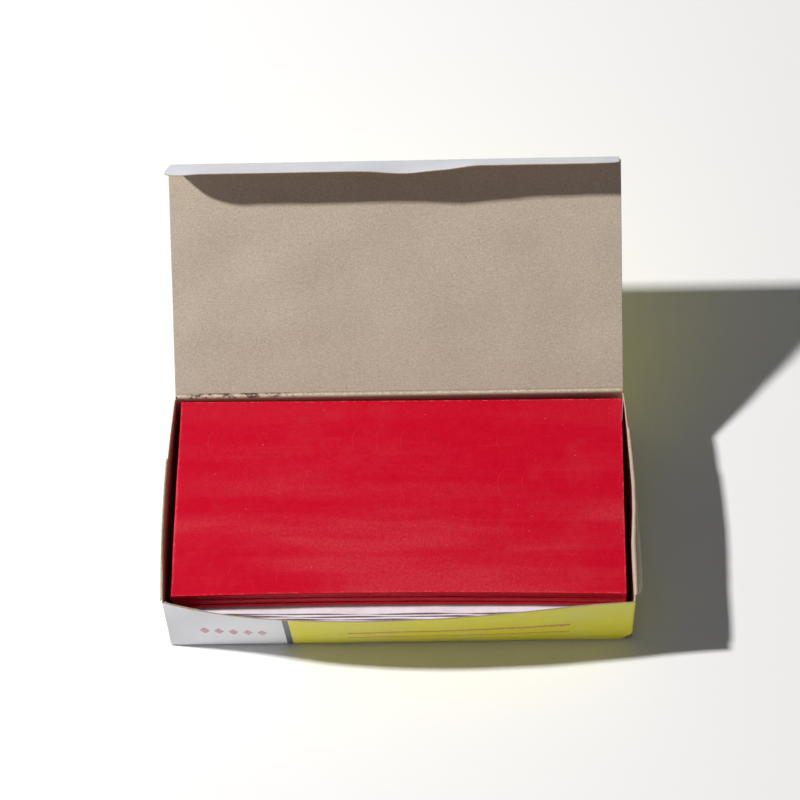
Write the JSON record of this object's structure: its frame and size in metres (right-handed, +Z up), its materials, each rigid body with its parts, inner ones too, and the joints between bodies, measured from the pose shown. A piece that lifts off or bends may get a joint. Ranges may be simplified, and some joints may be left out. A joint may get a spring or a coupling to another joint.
{
  "type": "carton of wax sheets",
  "caption": "Open tuck-top paperboard carton with a hinged lid, folding dust flaps and a stack of flat red wax sheets with thin papers laid between them.",
  "frame": {"origin": "middle of the carton's plan on the underside of its bottom panel", "axes": "+Z up, -Y towards the bowed front wall, +Y towards the back wall that carries the lid, +X to the right seen from the front"},
  "size_m": [0.1856, 0.173, 0.1043],
  "materials": {
    "printed_board": "satin",
    "plain_board": "matte",
    "red_wax": "satin",
    "paper": "matte"
  },
  "bodies": {
    "carton": {"front_panel": "printed_board", "right_side_panel": "printed_board", "back_panel": "printed_board", "left_side_panel": "printed_board", "glue_flap": "plain_board", "bottom_panel": "printed_board", "bottom_seal_flap": "plain_board", "bottom_left_dust_flap": "plain_board", "bottom_right_dust_flap": "plain_board"},
    "lid": {"lid_panel": "printed_board"},
    "tuck_flap": {"lid_tuck_flap": "printed_board"},
    "left_dust": {"top_left_dust_flap": "printed_board"},
    "right_dust": {"top_right_dust_flap": "printed_board"},
    "sheet_01": {"wax_sheet_01": "red_wax", "interleaf_01": "paper"},
    "sheet_02": {"wax_sheet_02": "red_wax", "interleaf_02": "paper"},
    "sheet_03": {"wax_sheet_03": "red_wax", "interleaf_03": "paper"},
    "sheet_04": {"wax_sheet_04": "red_wax", "interleaf_04": "paper"},
    "sheet_05": {"wax_sheet_05": "red_wax", "interleaf_05": "paper"},
    "sheet_06": {"wax_sheet_06": "red_wax", "interleaf_06": "paper"},
    "sheet_07": {"wax_sheet_07": "red_wax", "interleaf_07": "paper"},
    "sheet_08": {"wax_sheet_08": "red_wax", "interleaf_08": "paper"},
    "sheet_09": {"wax_sheet_09": "red_wax", "interleaf_09": "paper"},
    "sheet_10": {"wax_sheet_10": "red_wax", "interleaf_10": "paper"},
    "sheet_11": {"wax_sheet_11": "red_wax", "interleaf_11": "paper"},
    "sheet_12": {"wax_sheet_12": "red_wax"},
    "sheet_13": {"wax_sheet_13": "red_wax"},
    "sheet_14": {"wax_sheet_14": "red_wax"},
    "sheet_15": {"wax_sheet_15": "red_wax"}
  },
  "joints": [
    {"name": "lid_hinge", "type": "hinge", "parent": "carton", "child": "lid", "pos_m": [0, 0.0468, 0.03455], "axis": [1, 0, 0], "range_deg": [-60, 141]},
    {"name": "tuck_hinge", "type": "hinge", "parent": "lid", "child": "tuck_flap", "pos_m": [0, 0.11834, 0.09248], "axis": [-1, 0, 0], "range_deg": [-70, 95]},
    {"name": "left_dust_hinge", "type": "hinge", "parent": "carton", "child": "left_dust", "pos_m": [-0.09271, -0.04349, 0.034], "axis": [0.013, 0.9999, 0], "range_deg": [0, 269.5]},
    {"name": "right_dust_hinge", "type": "hinge", "parent": "carton", "child": "right_dust", "pos_m": [0.09271, -0.04349, 0.034], "axis": [0.013, -0.9999, 0], "range_deg": [0, 269]},
    {"name": "sheet_01_lift", "type": "slide", "parent": "carton", "child": "sheet_01", "axis": [0, 0, 1], "range_m": [0, 0.045]},
    {"name": "sheet_02_lift", "type": "slide", "parent": "sheet_01", "child": "sheet_02", "axis": [0, 0, 1], "range_m": [0, 0.045]},
    {"name": "sheet_03_lift", "type": "slide", "parent": "sheet_02", "child": "sheet_03", "axis": [0, 0, 1], "range_m": [0, 0.045]},
    {"name": "sheet_04_lift", "type": "slide", "parent": "sheet_03", "child": "sheet_04", "axis": [0, 0, 1], "range_m": [0, 0.045]},
    {"name": "sheet_05_lift", "type": "slide", "parent": "sheet_04", "child": "sheet_05", "axis": [0, 0, 1], "range_m": [0, 0.045]},
    {"name": "sheet_06_lift", "type": "slide", "parent": "sheet_05", "child": "sheet_06", "axis": [0, 0, 1], "range_m": [0, 0.045]},
    {"name": "sheet_07_lift", "type": "slide", "parent": "sheet_06", "child": "sheet_07", "axis": [0, 0, 1], "range_m": [0, 0.045]},
    {"name": "sheet_08_lift", "type": "slide", "parent": "sheet_07", "child": "sheet_08", "axis": [0, 0, 1], "range_m": [0, 0.045]},
    {"name": "sheet_09_lift", "type": "slide", "parent": "sheet_08", "child": "sheet_09", "axis": [0, 0, 1], "range_m": [0, 0.045]},
    {"name": "sheet_10_lift", "type": "slide", "parent": "sheet_09", "child": "sheet_10", "axis": [0, 0, 1], "range_m": [0, 0.045]},
    {"name": "sheet_11_lift", "type": "slide", "parent": "sheet_10", "child": "sheet_11", "axis": [0, 0, 1], "range_m": [0, 0.045]},
    {"name": "sheet_12_lift", "type": "slide", "parent": "sheet_11", "child": "sheet_12", "axis": [0, 0, 1], "range_m": [0, 0.045]},
    {"name": "sheet_13_lift", "type": "slide", "parent": "sheet_12", "child": "sheet_13", "axis": [0, 0, 1], "range_m": [0, 0.045]},
    {"name": "sheet_14_lift", "type": "slide", "parent": "sheet_13", "child": "sheet_14", "axis": [0, 0, 1], "range_m": [0, 0.045]},
    {"name": "sheet_15_lift", "type": "slide", "parent": "sheet_14", "child": "sheet_15", "axis": [0, 0, 1], "range_m": [0, 0.045]}
  ]
}
